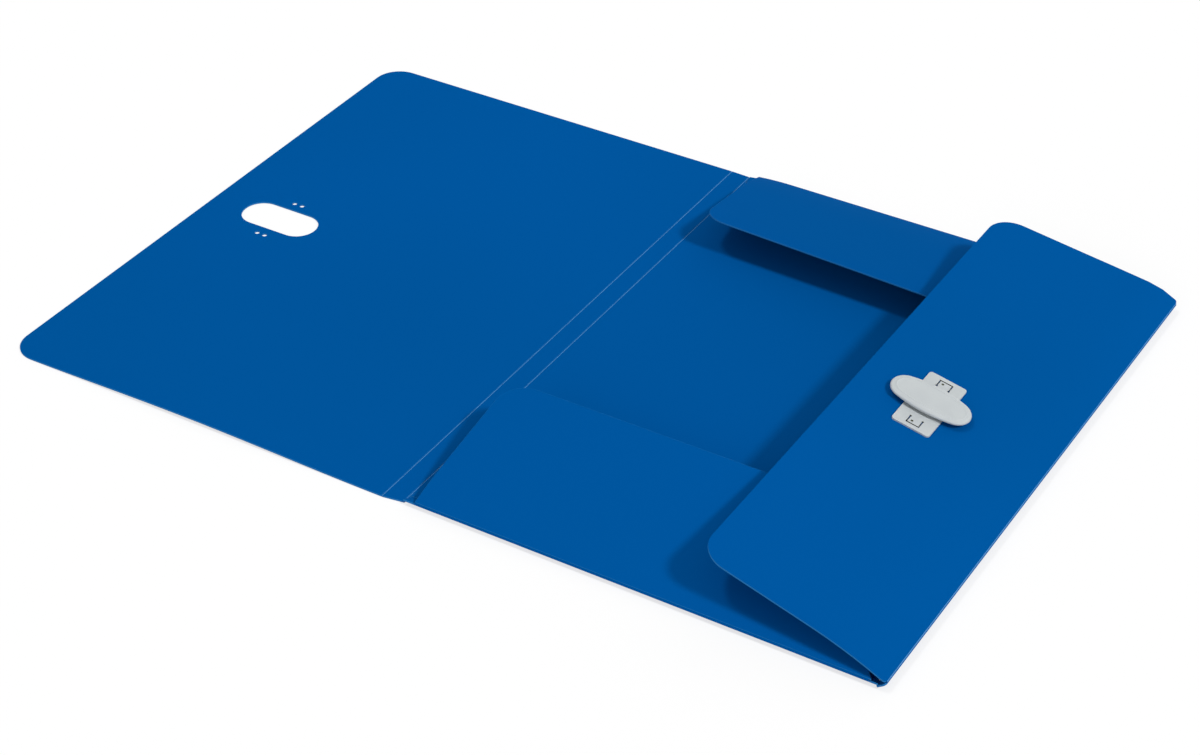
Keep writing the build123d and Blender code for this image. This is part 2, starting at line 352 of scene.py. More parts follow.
def thicken(thing, thickness, edgeRound, rim=1):  # wall behind the face, with softened edges
    wall = thing.modifiers.new("wall", "SOLIDIFY")
    wall.thickness = thickness * mm
    wall.offset = -1
    wall.use_even_offset = True
    wall.material_offset_rim = rim
    soft = thing.modifiers.new("softEdge", "BEVEL")
    soft.width = edgeRound * mm
    soft.segments = wallFinish["roundSegments"]
    soft.limit_method = "ANGLE"
    soft.angle_limit = radians(wallFinish["sharpAngle"])
    soft.material = rim if rim else -1
    even = thing.modifiers.new("evenShade", "WEIGHTED_NORMAL")
    even.keep_sharp = True
    even.weight = wallFinish["faceWeight"]
    for face in thing.data.polygons:
        face.use_smooth = True
    plainMesh(thing)


def finishSheet(thing, place, body, node):
    thing.data.materials.append(sheetPlastic)
    # the rim material is the cut edges' lighter blue, partly a painted highlight
    thing.data.materials.append(cutEdgeWhiteningAndHighlight)
    thicken(thing, sheet["thickness"], sheet["edgeRound"])
    thing.data.transform(place)
    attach(thing, body)
    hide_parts(node)


# Where the panels stand
spineX = jointPoint("spine_fold").x / mm
backWidth = (jointPoint("fore_gusset_fold") - jointPoint("spine_fold")).x / mm
spineWidth = (jointPoint("spine_fold") - jointPoint("cover_fold")).x / mm
halfHeight = sheet["height"] / 2
sideInset = halfHeight - jointPoint("top_gusset_fold").y / mm
gap = sheet["creaseGap"]

backLook = {
    "gussetStart": 1.0,  # from the spine fold to where the panel has narrowed to the gussets' creases
    "nearTaper": 1.5,  # how far the ends beside the spine fold are cut back
    "farTaper": 0.4,
}


def makeBackPanel():
    near = halfHeight - sideInset - gap
    far = backWidth - gap
    start = backLook["gussetStart"]
    corners = [(gap, -halfHeight + backLook["nearTaper"], 0), (start, -near, 0), (far, -near, 0),
               (far, near, 0), (start, near, 0), (gap, halfHeight - backLook["farTaper"], 0)]
    thing = linkObject("backPanel", flatPanel("backPanel", [roundedOutline(corners)], sheet["gridStep"]))
    place = panelPlace(jointPoint("spine_fold"), (1, 0, 0), 0)
    finishSheet(thing, place, "back", "back_panel")


def makeSpine():
    far = spineWidth - gap
    corners = [(gap, -halfHeight + backLook["farTaper"], 0), (far, -halfHeight, 0),
               (far, halfHeight, 0), (gap, halfHeight - backLook["nearTaper"], 0)]
    thing = linkObject("spineStrip", flatPanel("spineStrip", [roundedOutline(corners)], sheet["stripStep"]))
    place = panelPlace(jointPoint("spine_fold"), (-1, 0, 0), 0)
    finishSheet(thing, place, "spine", "spine_strip")


coverLook = {
    "width": 216.2,
    "cornerRadius": 14.0,
    "bow": 1.6,  # lift of the near edge's middle
    "bowDepth": 90.0,
    "slotPlace": 174.793,
    "slotLength": 43.2,
    "slotWidth": 20.8,
    "slotRadius": 10.2,
    "holeDiameter": 2.5,
    "holeRow": 16.0,
    "holeSpacing": 4.6,
}


def coverLift(u, v):  # v rises towards the near edge
    depth = 1 - (halfHeight - v) / coverLook["bowDepth"]
    if depth <= 0:
        return 0.0
    return coverLook["bow"] * sin(pi * min(u / coverLook["width"], 1)) ** 2 * depth * depth


def fourHoles(middle, spacing, diameter):  # two rows of two, in the cover and in the fore flap
    return [roundHole(middle + side * spacing, row * coverLook["holeRow"], diameter)
            for row in (-1, 1) for side in (-0.5, 0.5)]


def makeCover():
    width, radius = coverLook["width"], coverLook["cornerRadius"]
    outline = [(gap, -halfHeight, 0), (width, -halfHeight, radius), (width, halfHeight, radius),
               (gap, halfHeight, 0)]
    slot = boxCorners(coverLook["slotPlace"], 0, coverLook["slotLength"], coverLook["slotWidth"],
                      coverLook["slotRadius"])
    loops = [roundedOutline(outline), roundedOutline(slot)]
    loops += fourHoles(coverLook["slotPlace"], coverLook["holeSpacing"], coverLook["holeDiameter"])
    thing = linkObject("coverPanel", flatPanel("coverPanel", loops, sheet["gridStep"]))
    for vertex in thing.data.vertices:
        vertex.co.z += coverLift(vertex.co.x / mm, vertex.co.y / mm) * mm
    place = panelPlace(jointPoint("cover_fold"), (-1, 0, 0), 0)
    finishSheet(thing, place, "cover", "cover_panel")


# Gussets and flaps. Where a side piece has a pair of values, they are for its spine end and its fore end.
gussetLook = {
    "width": 6.2,
    "foreLean": 34.0,
    "sideLean": 20.0,
    "tabStart": 0.5,  # above this the fore gusset widens to the ends of its flap
    "tabSlope": 1.0,
    "creaseSideEnds": (1.3, -0.15),  # a side gusset's ends, in from the spine fold and the fore gusset's fold
    "foldSideEnds": (0.6, -1.9),
    "creaseLonger": (1.2, 2.4),  # a side gusset's crease runs this far past its node
    "sinkLength": 24.0,  # from the spine fold
}
foreFlapLook = {
    "reach": 94.02,
    "lean": 157.0,
    "bendLength": 38.0,
    "bendTurn": 11.0,
    "endInset": 0.4,
    "endTaper": 8.3,
    "cornerRadius": 14.0,
    "foldCorner": 1.6,
    "stemHole": 8.2,
    "pegHole": 2.2,
    "curl": 1.5,  # how much rounder the sheet runs over beside the fold, at its far end
    "curlPeak": 12.0,
    "creaseLonger": (-1.5, -1.5),  # at the near end and the far end
}
sideFlapLook = {
    "reach": 76.71,
    "lean": 162.0,
    "bendLength": 25.0,
    "bendTurn": 8.0,
    "length": 229.64,
    "mitreAngle": 40.0,
    "cornerRadius": 14.0,
    "sinkFade": 40.0,  # from the flap's fold
}
sideFlapSides = {  # both flaps are folded a little askew, so each has its own reach and lift
    "top": {
        "heading": 1,
        "start": 5.8,
        "startTaper": 4.3,
        "reach": (73.1, 77.7),
        "lift": (1.8, -1.8),
        "sink": 1.8,
        "creaseLonger": (-1.8, 0),
    },
    "bottom": {
        "heading": -1,
        "start": 6.8,
        "startTaper": 0.0,
        "reach": (80.5, 80.5),
        "lift": (1.2, 1.0),
        "sink": 0.0,
        "creaseLonger": (-2.8, 0),
    },
}


def bendLift(u, look):  # the sheet rises over a bend, and runs straight on from its end
    turn = radians(look["bendTurn"])
    radius = look["bendLength"] / turn
    bendEnd = gap + radius * sin(turn)
    if u <= bendEnd:
        return radius - sqrt(radius * radius - (u - gap) ** 2)
    return radius * (1 - cos(turn)) + tan(turn) * (u - bendEnd)


def foldSink(x, fold):  # the fold of a side flap drops a little towards the spine
    share = 1 - (x - spineX) / gussetLook["sinkLength"]
    return fold["sink"] * max(0.0, share) ** 2


def turnedCorners(corners, along):  # corners given by x, kept anticlockwise where v runs against x
    placed = [(u, along * x, radius) for u, x, radius in corners]
    return placed if along > 0 else placed[::-1]


def makeForeGusset():
    near = halfHeight - sideInset - gap
    far = gussetLook["width"] - gap
    wide = halfHeight - foreFlapLook["endInset"]
    radius = foreFlapLook["foldCorner"]
    tab = gussetLook["tabStart"]
    tabEnd = tab + gussetLook["tabSlope"]
    corners = [(gap, -near, 0), (tab, -near, 0), (tabEnd, -wide, 0), (far, -wide, radius),
               (far, wide, radius), (tabEnd, wide, 0), (tab, near, 0), (gap, near, 0)]
    thing = linkObject("foreGusset", flatPanel("foreGusset", [roundedOutline(corners)], sheet["stripStep"]))
    place = panelPlace(jointPoint("fore_gusset_fold"), (1, 0, 0), gussetLook["foreLean"])
    finishSheet(thing, place, "fore_strip", "fore_gusset")


def makeForeFlap():
    look = foreFlapLook
    reach, radius = look["reach"], look["cornerRadius"]
    wide = halfHeight - look["endInset"]
    narrow = wide - look["endTaper"]
    corners = [(gap, -wide, look["foldCorner"]), (reach, -narrow, radius),
               (reach, narrow, radius), (gap, wide, look["foldCorner"])]
    place = panelPlace(jointPoint("fore_flap_fold"), (1, 0, 0), look["lean"])
    centre = place.inverted() @ jointPoint("button_turn")
    middle = centre.x / mm
    slope = cos(radians(look["bendTurn"]))
    loops = [roundedOutline(corners), roundHole(middle, 0, look["stemHole"])]
    loops += fourHoles(middle, coverLook["holeSpacing"] * slope, look["pegHole"])
    thing = linkObject("foreFlap", flatPanel("foreFlap", loops, sheet["gridStep"]))
    for vertex in thing.data.vertices:
        u = vertex.co.x / mm
        share = (vertex.co.y / mm / halfHeight + 1) / 2
        rise = u / look["curlPeak"]
        curl = look["curl"] * (rise * exp(1 - rise) * share) ** 3
        vertex.co.z = (bendLift(u, look) - curl) * mm
    finishSheet(thing, place, "fore_leaf", "fore_flap")


def makeSideGusset(side):
    name, fold = side + "Gusset", sideFlapSides[side]
    along = -fold["heading"]  # on the far side local v runs towards the spine, on the near side away from it
    end = spineX + backWidth
    far = gussetLook["width"] - gap
    creaseStart, creaseEnd = gussetLook["creaseSideEnds"]
    foldStart, foldEnd = gussetLook["foldSideEnds"]
    corners = [(gap, spineX + creaseStart, 0), (far, spineX + foldStart, 0),
               (far, end - foldEnd, 0), (gap, end - creaseEnd, 0)]
    outline = roundedOutline(turnedCorners(corners, along))
    thing = linkObject(name, flatPanel(name, [outline], sheet["stripStep"]))
    lean = radians(gussetLook["sideLean"])
    for vertex in thing.data.vertices:  # the drop is in metres, and greatest at the flap's fold
        drop = foldSink(along * vertex.co.y / mm, fold) * vertex.co.x / gussetLook["width"]
        vertex.co -= Vector((sin(lean), 0, cos(lean))) * drop
    place = panelPlace(jointPoint(side + "_gusset_fold"), (0, fold["heading"], 0), gussetLook["sideLean"])
    finishSheet(thing, place, side + "_strip", side + "_gusset")


def makeSideFlap(side):
    look = sideFlapLook
    name, fold = side + "Flap", sideFlapSides[side]
    along = -fold["heading"]
    reach, radius = look["reach"], look["cornerRadius"]
    spineReach, foreReach = fold["reach"]
    spineLift, foreLift = fold["lift"]
    taper = tan(radians(fold["startTaper"]))
    mitre = tan(radians(look["mitreAngle"]))
    lean = radians(look["lean"])
    near = spineX + fold["start"]
    end = spineX + look["length"]
    corners = [(gap, near + gap * taper, 0), (spineReach, near + spineReach * taper, radius),
               (foreReach, end - foreReach * mitre, radius), (gap, end - gap * mitre, 0)]
    outline = roundedOutline(turnedCorners(corners, along))
    thing = linkObject(name, flatPanel(name, [outline], sheet["gridStep"]))
    middle = (near + end - reach * mitre) / 2
    span = (end - reach * mitre - near) / 2
    for vertex in thing.data.vertices:
        u = vertex.co.x / mm
        share = (along * vertex.co.y / mm - middle) / span
        raised = (spineLift + foreLift) / 2 + (foreLift - spineLift) / 2 * share
        drop = foldSink(along * vertex.co.y / mm, fold) * max(0.0, 1 - u / look["sinkFade"]) ** 2
        vertex.co.z = (bendLift(u, look) - raised * (u / reach) ** 2) * mm
        vertex.co -= Vector((sin(lean), 0, cos(lean))) * drop * mm
    place = panelPlace(jointPoint(side + "_flap_fold"), (0, fold["heading"], 0), look["lean"])
    finishSheet(thing, place, side + "_leaf", side + "_flap")


makeBackPanel()
makeSpine()
makeCover()
makeForeGusset()
makeForeFlap()
for side in sideFlapSides:
    makeSideGusset(side)
    makeSideFlap(side)
print("stage: panels made")


# Creases: a strip of sheet pressed thinner, from the edge of one panel to the edge of the next.
# The bulge is on the outer face, and hollow where it is negative. The valley is pressed into the inner face.
# The bands in pale are bent pale and partly a painted highlight, counted round from the outer face.
creaseLook = {
    "bands": 12,  # on each face
    "rows": 24,
    "bead": 0.2,
    "beadShare": 0.5,  # of the inner face
    "sharpAngle": 45.0,
}
flatCrease = {"bulge": -0.08, "valley": 0.25, "innerDepth": 0.06, "pale": range(16, 22)}
gussetCrease = {"bulge": 0.04, "valley": 0.2, "innerDepth": 0.1, "pale": ()}
sideFlapCrease = {"bulge": 0.1, "valley": 0.0, "innerDepth": 0.4, "pale": ()}
# On the fore fold the pale bands are the half of the outer round that faces the main light: a painted
# highlight.
foreFlapCrease = dict(sideFlapCrease, pale=range(7, 11))


def beadRise(share):  # low bead along the middle of a valley
    offset = share - 0.5
    if abs(offset) >= creaseLook["beadShare"] / 2:
        return 0.0
    return creaseLook["bead"] * cos(pi * offset / creaseLook["beadShare"])


def creaseProfile(leans, look):  # closed section across the fold, and the outer edges of the two panels
    leanA, leanB = radians(leans[0]), radians(leans[1])
    alongA, alongB = Vector((cos(leanA), sin(leanA))), Vector((cos(leanB), sin(leanB)))
    inA, inB = Vector((-sin(leanA), cos(leanA))), Vector((-sin(leanB), cos(leanB)))
    depth, innerDepth = sheet["creaseThickness"], look["innerDepth"]
    outerA, outerB = -gap * alongA - depth * inA, gap * alongB - depth * inB
    innerA, innerB = -gap * alongA - innerDepth * inA, gap * alongB - innerDepth * inB
    chord = outerB - outerA
    away = Vector((chord.y, -chord.x)).normalized()
    shares = [step / creaseLook["bands"] for step in range(creaseLook["bands"] + 1)]
    profile = [outerA.lerp(outerB, share) + away * look["bulge"] * sin(pi * share) for share in shares]
    for share in shares:
        press = look["valley"] * sin(pi * share)
        if look["valley"]:
            press -= beadRise(share)
        profile.append(innerB.lerp(innerA, share) + away * press)
    return profile, outerA, outerB


# longer adds to the right end and the left end, seen along the heading
def makeCrease(name, node, heading, leans, look, longer=(0, 0), fold=None):
    joint = joints[node.replace("_crease", "_fold")]
    profile, outerA, outerB = creaseProfile(leans, look)
    low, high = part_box(node)
    head = Vector((*heading, 0))
    axis = Vector((0, 0, 1)).cross(head)
    ends = sorted((axis.dot(low), axis.dot(high)))
    ends = (ends[0] - longer[0] * mm, ends[1] + longer[1] * mm)
    origin = Vector(joint["pos_m"])
    origin -= axis * axis.dot(origin)
    rows = creaseLook["rows"]
    corners = []
    for row in range(rows + 1):
        reach = axis * (ends[0] + (ends[1] - ends[0]) * row / rows)
        drop = foldSink(reach.x / mm, fold) if fold else 0.0
        corners += [origin + reach + (head * p.x + Vector((0, 0, p.y - drop))) * mm for p in profile]
    count = len(profile)
    faces = [tuple(reversed(range(count))), tuple(rows * count + i for i in range(count))]
    for row in range(rows):
        for i in range(count):
            a, b = row * count + i, row * count + (i + 1) % count
            faces.append((a, b, b + count, a + count))
    mesh = bpy.data.meshes.new(name)
    mesh.from_pydata(corners, [], faces)
    mesh.materials.append(sheetPlastic)
    mesh.materials.append(creasePlastic)
    for index, face in enumerate(mesh.polygons):  # the first two faces close the ends
        face.use_smooth = True
        face.material_index = int(index > 1 and (index - 2) % count in look["pale"])
    mesh.set_sharp_from_angle(angle=radians(creaseLook["sharpAngle"]))
    thing = linkObject(name, mesh)
    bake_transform(thing)
    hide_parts(node)


def rightFirst(ends, heading):  # towards the near edge the spine end is on the right, and first already
    return ends if heading < 0 else ends[::-1]


foreLean, sideLean = gussetLook["foreLean"], gussetLook["sideLean"]
farTip = backLook["nearTaper"] - backLook["farTaper"]  # the far end is cut back less than the solid's
makeCrease("spineCrease", "spine_crease", (-1, 0), (0, 0), flatCrease, (farTip, 0))
makeCrease("coverCrease", "cover_crease", (-1, 0), (0, 0), flatCrease)
makeCrease("foreGussetCrease", "fore_gusset_crease", (1, 0), (0, foreLean), gussetCrease)
makeCrease("foreFlapCrease", "fore_flap_crease", (1, 0), (foreLean, foreFlapLook["lean"]), foreFlapCrease,
           foreFlapLook["creaseLonger"])
for side, fold in sideFlapSides.items():
    heading = (0, fold["heading"])
    makeCrease(side + "GussetCrease", side + "_gusset_crease", heading, (0, sideLean), gussetCrease,
               rightFirst(gussetLook["creaseLonger"], fold["heading"]))
    makeCrease(side + "FlapCrease", side + "_flap_crease", heading, (sideLean, sideFlapLook["lean"]),
               sideFlapCrease, rightFirst(fold["creaseLonger"], fold["heading"]), fold)
print("stage: creases made")


# Closure. Local x runs along the button towards the flap's free edge, y runs along the flap,
# and z points out of the flap's outer face.
plateSize = {
    "length": 41.0,
    "width": 19.2,
    "thickness": 0.9,
    "corner": 1.6,
    "edgeRound": 0.22,
    "gridStep": 1.6,
    "tongueWidth": 6.8,
    "tongueLength": 4.8,
    "tongueMiddle": 15.8,
    "slitWidth": 0.6,
    "slitEnd": 1.1,
    "dimple": 1.3,
    "dimpleDepth": 0.5,
    "dimpleShift": 1.1,
    "dimpleRings": (1.0, 0.8),  # shares of its diameter
    "dimpleFloor": 0.45,  # points nearer the middle than this share of the diameter are pressed in
}


def closurePlace():
    normal = Vector(joints["button_turn"]["axis"]).normalized()
    y = Vector((0, -1, 0))
    x = y.cross(normal)
    place = Matrix((x, y, normal)).transposed().to_4x4()
    place.translation = jointPoint("button_turn")
    return place


def makeSlit(side):  # spring slit round three sides of a tongue, with a small round hole at each leg's end
    size = plateSize
    arcSteps = 12
    reach, inner = size["tongueWidth"] / 2, size["tongueWidth"] / 2 - size["slitWidth"]
    far = size["tongueMiddle"] + size["tongueLength"] / 2
    near = size["tongueMiddle"] - size["tongueLength"] / 2
    floor = far - size["slitWidth"]
    middle, radius = (reach + inner) / 2, size["slitEnd"] / 2
    opening = asin(size["slitWidth"] / 2 / radius)
    turns = [pi / 2 + opening + (2 * pi - 2 * opening) * step / arcSteps for step in range(arcSteps + 1)]
    arc = [(radius * cos(turn), near + radius * sin(turn)) for turn in turns]
    loop = [(x - middle, y) for x, y in arc] + [(-inner, floor), (inner, floor)]
    loop += [(x + middle, y) for x, y in arc] + [(reach, far), (-reach, far)]
    return [Vector((x, side * y)) for x, y in loop]


def paintShadeInHollows(mesh):  # painted shade: the walls of the slits and the dimples take the darker tone
    size = plateSize
    slitMargin = 0.1
    slitFar = size["tongueMiddle"] + size["tongueLength"] / 2 + slitMargin
    slitSide = (size["tongueWidth"] + size["slitEnd"]) / 2
    centre = Vector((size["dimpleShift"], coverLook["holeRow"]))
    for face in mesh.polygons:
        across, along = abs(face.center.x) / mm, abs(face.center.y) / mm
        upright = abs(face.normal.z) < 0.5
        inSlit = upright and across < slitSide and along < slitFar
        inDimple = (Vector((across, along)) - centre).length < size["dimple"] / 2
        face.material_index = int(inSlit or inDimple)


def makeBasePlate():
    size = plateSize
    outline = roundedOutline(boxCorners(0, 0, size["width"], size["length"], size["corner"]), 8)
    loops = [outline, roundHole(0, 0, foreFlapLook["stemHole"], 32), makeSlit(1), makeSlit(-1)]
    centres = [Vector((size["dimpleShift"], side * coverLook["holeRow"])) for side in (-1, 1)]
    spots = []
    for centre in centres:
        spots.append(centre)
        for share in size["dimpleRings"]:
            spots += roundHole(*centre, size["dimple"] * share, 12)
    mesh = flatPanel("closureBasePlate", loops, size["gridStep"], spots)
    floorRadius = size["dimple"] * size["dimpleFloor"]
    for vertex in mesh.vertices:
        if any((vertex.co.xy / mm - centre).length < floorRadius for centre in centres):
            vertex.co.z -= size["dimpleDepth"] * mm
    thing = linkObject("closureBasePlate", mesh)
    thing.data.materials.append(closurePlastic)
    thing.data.materials.append(closurePaintedShade)
    thicken(thing, size["thickness"], size["edgeRound"], 0)
    # the slit walls and the dimples get the painted shade
    paintShadeInHollows(thing.data)
    thing.data.transform(Matrix.Translation((0, 0, size["thickness"] * mm)))
    thing.data.transform(closurePlace())
    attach(thing, "fore_leaf")
    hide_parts("closure_base_plate")


pegSize = {
    "diameter": 1.8,
    "grip": 1.6,  # through the flap and the plate behind it
    "head": 2.6,
    "headThickness": 0.5,
    "headTaper": 0.25,
    "sharpAngle": 40.0,
}


def makePegTree():
    sides = 32
    tree = bpy.data.node_groups.new("pegRows", "GeometryNodeTree")
    names = ("Column Span", "Row Span", "Peg Radius", "Peg Length",
             "Head Radius", "Head Tip Radius", "Head Length")
    for name in names:
        tree.interface.new_socket(name, in_out="INPUT", socket_type="NodeSocketFloat")
    tree.interface.new_socket("Material", in_out="INPUT", socket_type="NodeSocketMaterial")
    tree.interface.new_socket("Pegs", in_out="OUTPUT", socket_type="NodeSocketGeometry")
    add, link = tree.nodes.new, tree.links.new
    given = add("NodeGroupInput").outputs
    result = add("NodeGroupOutput")
    grid = add("GeometryNodeMeshGrid")
    grid.inputs["Vertices X"].default_value = 2
    grid.inputs["Vertices Y"].default_value = 2
    link(given["Column Span"], grid.inputs["Size X"])
    link(given["Row Span"], grid.inputs["Size Y"])

    def turnedPiece(bottom, top, length, height):  # cone whose lower face lies at this height
        cone = add("GeometryNodeMeshCone")
        cone.inputs["Vertices"].default_value = sides
        link(bottom, cone.inputs["Radius Bottom"])
        link(top, cone.inputs["Radius Top"])
        link(length, cone.inputs["Depth"])
        offset = add("ShaderNodeCombineXYZ")
        link(height, offset.inputs["Z"])
        moved = add("GeometryNodeTransform")
        link(cone.outputs["Mesh"], moved.inputs["Geometry"])
        link(offset.outputs["Vector"], moved.inputs["Translation"])
        return moved.outputs["Geometry"]

    low = mathNode(tree, "MULTIPLY", given["Peg Length"], -1.0)
    shank = turnedPiece(given["Peg Radius"], given["Peg Radius"], given["Peg Length"], low)
    headLow = mathNode(tree, "SUBTRACT", low, given["Head Length"])
    head = turnedPiece(given["Head Tip Radius"], given["Head Radius"], given["Head Length"], headLow)
    joined = add("GeometryNodeJoinGeometry")
    link(shank, joined.inputs["Geometry"])
    link(head, joined.inputs["Geometry"])
    copies = add("GeometryNodeInstanceOnPoints")
    link(grid.outputs["Mesh"], copies.inputs["Points"])
    link(joined.outputs["Geometry"], copies.inputs["Instance"])
    real = add("GeometryNodeRealizeInstances")
    link(copies.outputs["Instances"], real.inputs["Geometry"])
    dressed = add("GeometryNodeSetMaterial")
    link(real.outputs["Geometry"], dressed.inputs["Geometry"])
    link(given["Material"], dressed.inputs["Material"])
    link(dressed.outputs["Geometry"], result.inputs["Pegs"])
    return tree


def makePegs():
    size = pegSize
    thing = linkObject("closurePegs", bpy.data.meshes.new("closurePegs"))
    tree = makePegTree()
    rows = thing.modifiers.new("pegRows", "NODES")
    rows.node_group = tree
    values = {
        "Column Span": coverLook["holeSpacing"] * mm,
        "Row Span": 2 * coverLook["holeRow"] * mm,
        "Peg Radius": size["diameter"] / 2 * mm,
        "Peg Length": size["grip"] * mm,
        "Head Radius": size["head"] / 2 * mm,
        "Head Tip Radius": (size["head"] / 2 - size["headTaper"]) * mm,
        "Head Length": size["headThickness"] * mm,
        "Material": closurePlastic,
    }
    for socket in tree.interface.items_tree:
        if socket.in_out == "INPUT":
            rows[socket.identifier] = values[socket.name]
    plainMesh(thing)
    thing.data.transform(closurePlace())
    for face in thing.data.polygons:
        face.use_smooth = True
    thing.data.set_sharp_from_angle(angle=radians(size["sharpAngle"]))
    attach(thing, "fore_leaf")
    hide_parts("closure_base_plate")


buttonSize = {
    "length": 40.0,
    "width": 19.4,
    "thickness": 2.0,
    "underside": 2.5,
    "sideRadius": 53.0,
    "crownRadius": 260.0,
    "edgeRadius": 0.9,
    "footRadius": 0.4,
    "ridgeInset": 2.6,
    "ridgeSlope": 5.0,  # the crown falls away outside the ridge
    "ridgeHeight": 0.22,
    "ridgeWidth": 0.35,
    "outlineSteps": 144,
    "edgeSteps": 6,
    "footSteps": 4,
    "middleInset": 6.0,
    "middleShares": (0.04, 0.3, 0.6, 0.85),
    "crownInsets": (6.0, 4.5, 3.6, 3.2, 2.95, 2.75, 2.6, 2.45, 2.25, 2.0, 1.6, 1.2),  # closest at the ridge
    "undersideInsets": (1.2, 2.4),
    "neck": 12.0,
    "neckRound": 0.25,
    "runningGap": 0.05,  # from the neck's shoulder to the plate
    "stem": 8.0,
    "grooveTop": -1.7,
    "grooveFoot": -2.5,
    "grooveDepth": 0.5,
    "stemEnd": -3.1,
    "stemChamfer": 0.15,
    "sharpAngle": 50.0,
}


def lensPoint(turn, inset):  # point of the button's outline whose normal has this turn, moved in by inset
    size = buttonSize
    side = size["sideRadius"] - size["width"] / 2
    halfLength = size["length"] / 2
    end = (size["sideRadius"] ** 2 - side**2 - halfLength**2) / (2 * (size["sideRadius"] - halfLength))
    meet = atan2(side, halfLength - end)
    normal = Vector((cos(turn), sin(turn)))
    if abs(abs(atan2(normal.y, normal.x)) - pi / 2) > pi / 2 - meet:
        centre = Vector(((halfLength - end) * (1 if normal.x > 0 else -1), 0))
        return centre + normal * (end - inset)
    centre = Vector((0, -side if normal.y > 0 else side))
    return centre + normal * (size["sideRadius"] - inset)


def crownHeight(point, inset):  # crowned top with a low ridge round it
    size = buttonSize
    lower = max(0.0, size["ridgeInset"] - inset) * tan(radians(size["ridgeSlope"]))
    lower -= size["ridgeHeight"] * exp(-(((inset - size["ridgeInset"]) / size["ridgeWidth"]) ** 2))
    top = size["underside"] + size["thickness"]
    return top - point.length_squared / (2 * size["crownRadius"]) - lower


def stemProfile():  # radius and height, from the button's underside down to the stem's end
    size = buttonSize
    neck, stem = size["neck"] / 2, size["stem"] / 2
    neckRound, chamfer = size["neckRound"], size["stemChamfer"]
    groove = stem - size["grooveDepth"]
    shoulder = plateSize["thickness"] + size["runningGap"]
    return [(neck + neckRound, size["underside"]), (neck, size["underside"] - neckRound), (neck, shoulder),
            (stem, shoulder), (stem, size["grooveTop"]), (groove, size["grooveTop"]),
            (groove, size["grooveFoot"]), (stem, size["grooveFoot"]), (stem, size["stemEnd"] + chamfer),
            (stem - chamfer, size["stemEnd"])]


def buttonRings(turns):  # from the middle of the top, over the edge, under and down the stem
    size = buttonSize
    base, edge, foot = size["underside"], size["edgeRadius"], size["footRadius"]
    rings = []
    for share in size["middleShares"]:
        flat = [lensPoint(turn, size["middleInset"]) * share for turn in turns]
        rings.append([Vector((*p, crownHeight(p, size["middleInset"]))) for p in flat])
    for inset in size["crownInsets"]:
        flat = [lensPoint(turn, inset) for turn in turns]
        rings.append([Vector((*p, crownHeight(p, inset))) for p in flat])
    rim = [crownHeight(lensPoint(turn, edge), edge) for turn in turns]
    for step in range(size["edgeSteps"] + 1):
        lean = pi / 2 * step / size["edgeSteps"]
        flat = [lensPoint(turn, edge * (1 - sin(lean))) for turn in turns]
        rings.append([Vector((*p, top - edge * (1 - cos(lean)))) for p, top in zip(flat, rim)])
    for step in range(size["footSteps"] + 1):
        lean = pi / 2 * step / size["footSteps"]
        flat = [lensPoint(turn, foot * (1 - cos(lean))) for turn in turns]
        rings.append([Vector((*p, base + foot * (1 - sin(lean)))) for p in flat])
    for inset in size["undersideInsets"]:
        rings.append([Vector((*lensPoint(turn, inset), base)) for turn in turns])
    for radius, height in stemProfile():
        rings.append([Vector((radius * cos(turn), radius * sin(turn), height)) for turn in turns])
    return rings


def makeButton():
    size = buttonSize
    count = size["outlineSteps"]
    rings = buttonRings([2 * pi * (i + 0.5) / count for i in range(count)])
    corners = [p * mm for ring in rings for p in ring]
    faces = []
    for row in range(len(rings) - 1):
        for i in range(count):
            a, b = row * count + i, row * count + (i + 1) % count
            faces.append((a, a + count, b + count, b))
    crown, tip = len(corners), len(corners) + 1  # middles of the top and of the stem's end
    corners.append(Vector((0, 0, crownHeight(Vector((0, 0)), size["middleInset"]))) * mm)
    corners.append(Vector((0, 0, size["stemEnd"])) * mm)
    last = (len(rings) - 1) * count
    for i in range(count):
        following = (i + 1) % count
        faces.append((crown, i, following))
        faces.append((tip, last + following, last + i))
    mesh = bpy.data.meshes.new("closureButton")
    mesh.from_pydata(corners, [], faces)
    mesh.transform(closurePlace())
    for face in mesh.polygons:
        face.use_smooth = True
    mesh.set_sharp_from_angle(angle=radians(size["sharpAngle"]))
    mesh.materials.append(closurePlastic)
    thing = linkObject("closureButton", mesh)
    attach(thing, "button")
    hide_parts("closure_button")


makeBasePlate()
makePegs()
makeButton()
for node in ("closure_backing_plate", "closure_retaining_ring"):
    kept = frame["nodes"][node]
    kept.data.materials.clear()
    kept.data.materials.append(closurePlastic)
print("stage: closure made")


# Floor, world, light and camera
def seenDirectly(tree):  # 1 for the camera, and for what gloss and glass show
    rays = tree.nodes.new("ShaderNodeLightPath").outputs
    seen = mathNode(tree, "MAXIMUM", rays["Is Camera Ray"], rays["Is Glossy Ray"])
    return mathNode(tree, "MAXIMUM", seen, rays["Is Transmission Ray"])


floorLook = {
    "tone": 1.0,
    "white": 0.7,  # share of plain white where the floor is seen, so its shadow stays pale
    "reach": 6.0,
    "drop": 0.00005,
}


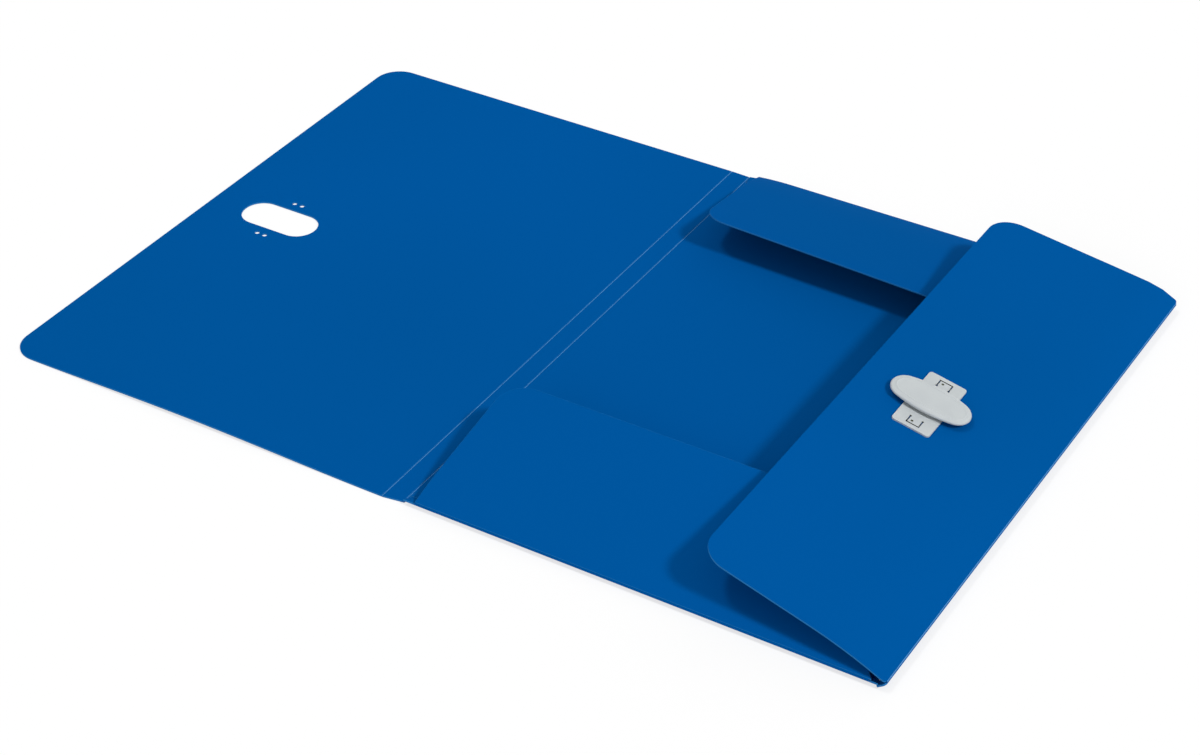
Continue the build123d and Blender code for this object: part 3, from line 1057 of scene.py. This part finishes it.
def makeFloor():
    reach, low = floorLook["reach"], -floorLook["drop"]
    corners = [(-reach, -reach, low), (reach, -reach, low), (reach, reach, low), (-reach, reach, low)]
    mesh = bpy.data.meshes.new("floor")
    mesh.from_pydata(corners, [], [(0, 1, 2, 3)])
    material = bpy.data.materials.new("paleFloor")
    material.use_nodes = True
    tree = material.node_tree
    shader = tree.nodes["Principled BSDF"]
    shader.inputs["Base Color"].default_value = (*[floorLook["tone"]] * 3, 1)
    shader.inputs["Roughness"].default_value = 1.0
    shader.inputs["Specular IOR Level"].default_value = 0.0
    share = mathNode(tree, "MULTIPLY", seenDirectly(tree), floorLook["white"])
    glow = tree.nodes.new("ShaderNodeEmission")
    mix = tree.nodes.new("ShaderNodeMixShader")
    tree.links.new(share, mix.inputs[0])
    tree.links.new(shader.outputs["BSDF"], mix.inputs[1])
    tree.links.new(glow.outputs["Emission"], mix.inputs[2])
    tree.links.new(mix.outputs["Shader"], tree.nodes["Material Output"].inputs["Surface"])
    mesh.materials.append(material)
    floor = linkObject("floor", mesh)


suns = {
    "mainLight": {"strength": 1.56, "spread": 7.5, "comesFrom": (1.0, -0.06, 1.0)},
    "topLight": {"strength": 0.67, "spread": 10.0, "comesFrom": (-0.45, 0.0, 1.0)},
    "fillLight": {"strength": 0.57, "spread": 40.0, "comesFrom": (0.1, -1.0, 0.42)},
    "backLight": {"strength": 0.25, "spread": 40.0, "comesFrom": (0.0, 1.0, 0.4)},
}


def makeSun(name, look):
    light = bpy.data.lights.new(name, "SUN")
    light.energy = look["strength"]
    light.angle = radians(look["spread"])
    lamp = bpy.data.objects.new(name, light)
    bpy.context.scene.collection.objects.link(lamp)
    lamp.rotation_euler = Vector(look["comesFrom"]).to_track_quat("Z", "Y").to_euler()


worldLook = {"ambient": 0.36, "seen": 1.0}


def makeWorld():
    world = bpy.data.worlds.new("studio")
    bpy.context.scene.world = world
    world.use_nodes = True
    tree = world.node_tree
    seen = seenDirectly(tree)
    mix = tree.nodes.new("ShaderNodeMix")
    mix.data_type = "RGBA"
    mix.inputs["A"].default_value = (*[worldLook["ambient"]] * 3, 1)
    mix.inputs["B"].default_value = (*[worldLook["seen"]] * 3, 1)
    tree.links.new(seen, mix.inputs["Factor"])
    tree.links.new(mix.outputs["Result"], tree.nodes["Background"].inputs["Color"])


cameraLook = {
    "target": (-0.08995, -0.03309, 0.0),
    "azimuth": 31.11,
    "elevation": 35.76,
    "distance": 1.25854,
    "lens": 80.594,
    "sensorWidth": 36.0,
}


def makeCamera():
    data = bpy.data.cameras.new("camera")
    data.lens = cameraLook["lens"]
    data.sensor_width = cameraLook["sensorWidth"]
    camera = bpy.data.objects.new("camera", data)
    bpy.context.scene.collection.objects.link(camera)
    azimuth, elevation = radians(cameraLook["azimuth"]), radians(cameraLook["elevation"])
    towards = Vector((cos(elevation) * sin(azimuth), -cos(elevation) * cos(azimuth), sin(elevation)))
    camera.location = Vector(cameraLook["target"]) + towards * cameraLook["distance"]
    camera.rotation_euler = towards.to_track_quat("Z", "Y").to_euler()
    bpy.context.scene.camera = camera


makeFloor()
for name, look in suns.items():
    makeSun(name, look)
makeWorld()
makeCamera()
bpy.context.scene.view_settings.view_transform = "Standard"
print("stage: light and camera set")
